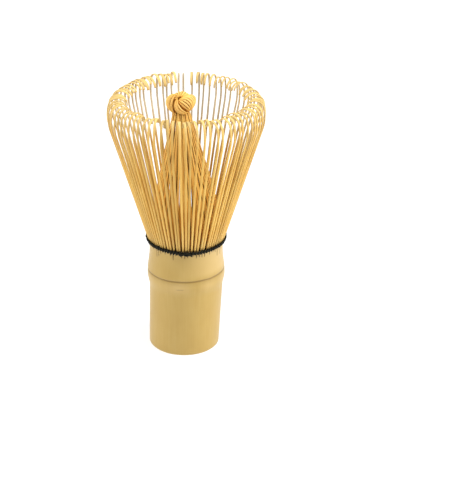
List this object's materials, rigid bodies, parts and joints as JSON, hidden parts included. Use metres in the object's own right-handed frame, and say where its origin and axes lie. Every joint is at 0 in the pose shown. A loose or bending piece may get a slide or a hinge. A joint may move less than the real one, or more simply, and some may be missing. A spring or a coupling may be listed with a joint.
{
  "type": "bamboo tea whisk",
  "caption": "Bamboo whisk for powdered tea: a hollow culm handle, a flared basket of hooked tines tied by a black thread, and an inner core gathered in a knot.",
  "frame": {"origin": "centre of the handle's flat foot", "axes": "+Z along the whisk's axis from the handle's foot to the tines' tips; -Y is the side with the thread's knot"},
  "size_m": [0.0594, 0.0594, 0.1054],
  "materials": {
    "bamboo_skin": "satin natural bamboo skin with a slight gloss",
    "bamboo_pith": "matt, pale and papery",
    "bamboo_tines": "satin split bamboo with long fibres",
    "bamboo_core": "satin split bamboo, warmer and darker",
    "cotton_thread": "matt black twisted cotton"
  },
  "bodies": {
    "handle": {"culm_handle": "bamboo_skin", "node_diaphragm": "bamboo_pith", "outer_tine_roots": "bamboo_tines", "thread_first_round": "cotton_thread", "thread_second_round": "cotton_thread", "thread_knot": "cotton_thread", "core_knot": "bamboo_core", "inner_tines_01": "bamboo_core", "inner_tines_02": "bamboo_core", "inner_tines_03": "bamboo_core", "inner_tines_04": "bamboo_core", "inner_tines_05": "bamboo_core", "inner_tines_06": "bamboo_core", "inner_tines_07": "bamboo_core", "inner_tines_08": "bamboo_core", "inner_tines_09": "bamboo_core", "inner_tines_10": "bamboo_core", "inner_tines_11": "bamboo_core", "inner_tines_12": "bamboo_core", "inner_tines_13": "bamboo_core", "inner_tines_14": "bamboo_core", "inner_tines_15": "bamboo_core", "inner_tines_16": "bamboo_core"},
    "outer_section_01": {"outer_tines_01": "bamboo_tines"},
    "outer_section_02": {"outer_tines_02": "bamboo_tines"},
    "outer_section_03": {"outer_tines_03": "bamboo_tines"},
    "outer_section_04": {"outer_tines_04": "bamboo_tines"},
    "outer_section_05": {"outer_tines_05": "bamboo_tines"},
    "outer_section_06": {"outer_tines_06": "bamboo_tines"},
    "outer_section_07": {"outer_tines_07": "bamboo_tines"},
    "outer_section_08": {"outer_tines_08": "bamboo_tines"},
    "outer_section_09": {"outer_tines_09": "bamboo_tines"},
    "outer_section_10": {"outer_tines_10": "bamboo_tines"},
    "outer_section_11": {"outer_tines_11": "bamboo_tines"},
    "outer_section_12": {"outer_tines_12": "bamboo_tines"},
    "outer_section_13": {"outer_tines_13": "bamboo_tines"},
    "outer_section_14": {"outer_tines_14": "bamboo_tines"},
    "outer_section_15": {"outer_tines_15": "bamboo_tines"},
    "outer_section_16": {"outer_tines_16": "bamboo_tines"}
  },
  "joints": [
    {"name": "section_01_flex", "type": "hinge", "parent": "handle", "child": "outer_section_01", "pos_m": [0.0149, 0, 0.0469], "axis": [0, 1, 0], "range_deg": [-3, 4], "stiffness_Nm_per_rad": 0.0095},
    {"name": "section_02_flex", "type": "hinge", "parent": "handle", "child": "outer_section_02", "pos_m": [0.01377, 0.0057, 0.0469], "axis": [-0.3827, 0.9239, 0], "range_deg": [-3, 4], "stiffness_Nm_per_rad": 0.0095},
    {"name": "section_03_flex", "type": "hinge", "parent": "handle", "child": "outer_section_03", "pos_m": [0.01054, 0.01054, 0.0469], "axis": [-0.7071, 0.7071, 0], "range_deg": [-3, 4], "stiffness_Nm_per_rad": 0.0095},
    {"name": "section_04_flex", "type": "hinge", "parent": "handle", "child": "outer_section_04", "pos_m": [0.0057, 0.01377, 0.0469], "axis": [-0.9239, 0.3827, 0], "range_deg": [-3, 4], "stiffness_Nm_per_rad": 0.0095},
    {"name": "section_05_flex", "type": "hinge", "parent": "handle", "child": "outer_section_05", "pos_m": [0, 0.0149, 0.0469], "axis": [-1, 0, 0], "range_deg": [-3, 4], "stiffness_Nm_per_rad": 0.0095},
    {"name": "section_06_flex", "type": "hinge", "parent": "handle", "child": "outer_section_06", "pos_m": [-0.0057, 0.01377, 0.0469], "axis": [-0.9239, -0.3827, 0], "range_deg": [-3, 4], "stiffness_Nm_per_rad": 0.0095},
    {"name": "section_07_flex", "type": "hinge", "parent": "handle", "child": "outer_section_07", "pos_m": [-0.01054, 0.01054, 0.0469], "axis": [-0.7071, -0.7071, 0], "range_deg": [-3, 4], "stiffness_Nm_per_rad": 0.0095},
    {"name": "section_08_flex", "type": "hinge", "parent": "handle", "child": "outer_section_08", "pos_m": [-0.01377, 0.0057, 0.0469], "axis": [-0.3827, -0.9239, 0], "range_deg": [-3, 4], "stiffness_Nm_per_rad": 0.0095},
    {"name": "section_09_flex", "type": "hinge", "parent": "handle", "child": "outer_section_09", "pos_m": [-0.0149, 0, 0.0469], "axis": [0, -1, 0], "range_deg": [-3, 4], "stiffness_Nm_per_rad": 0.0095},
    {"name": "section_10_flex", "type": "hinge", "parent": "handle", "child": "outer_section_10", "pos_m": [-0.01377, -0.0057, 0.0469], "axis": [0.3827, -0.9239, 0], "range_deg": [-3, 4], "stiffness_Nm_per_rad": 0.0095},
    {"name": "section_11_flex", "type": "hinge", "parent": "handle", "child": "outer_section_11", "pos_m": [-0.01054, -0.01054, 0.0469], "axis": [0.7071, -0.7071, 0], "range_deg": [-3, 4], "stiffness_Nm_per_rad": 0.0095},
    {"name": "section_12_flex", "type": "hinge", "parent": "handle", "child": "outer_section_12", "pos_m": [-0.0057, -0.01377, 0.0469], "axis": [0.9239, -0.3827, 0], "range_deg": [-3, 4], "stiffness_Nm_per_rad": 0.0095},
    {"name": "section_13_flex", "type": "hinge", "parent": "handle", "child": "outer_section_13", "pos_m": [0, -0.0149, 0.0469], "axis": [1, 0, 0], "range_deg": [-3, 4], "stiffness_Nm_per_rad": 0.0095},
    {"name": "section_14_flex", "type": "hinge", "parent": "handle", "child": "outer_section_14", "pos_m": [0.0057, -0.01377, 0.0469], "axis": [0.9239, 0.3827, 0], "range_deg": [-3, 4], "stiffness_Nm_per_rad": 0.0095},
    {"name": "section_15_flex", "type": "hinge", "parent": "handle", "child": "outer_section_15", "pos_m": [0.01054, -0.01054, 0.0469], "axis": [0.7071, 0.7071, 0], "range_deg": [-3, 4], "stiffness_Nm_per_rad": 0.0095},
    {"name": "section_16_flex", "type": "hinge", "parent": "handle", "child": "outer_section_16", "pos_m": [0.01377, -0.0057, 0.0469], "axis": [0.3827, 0.9239, 0], "range_deg": [-3, 4], "stiffness_Nm_per_rad": 0.0095}
  ]
}
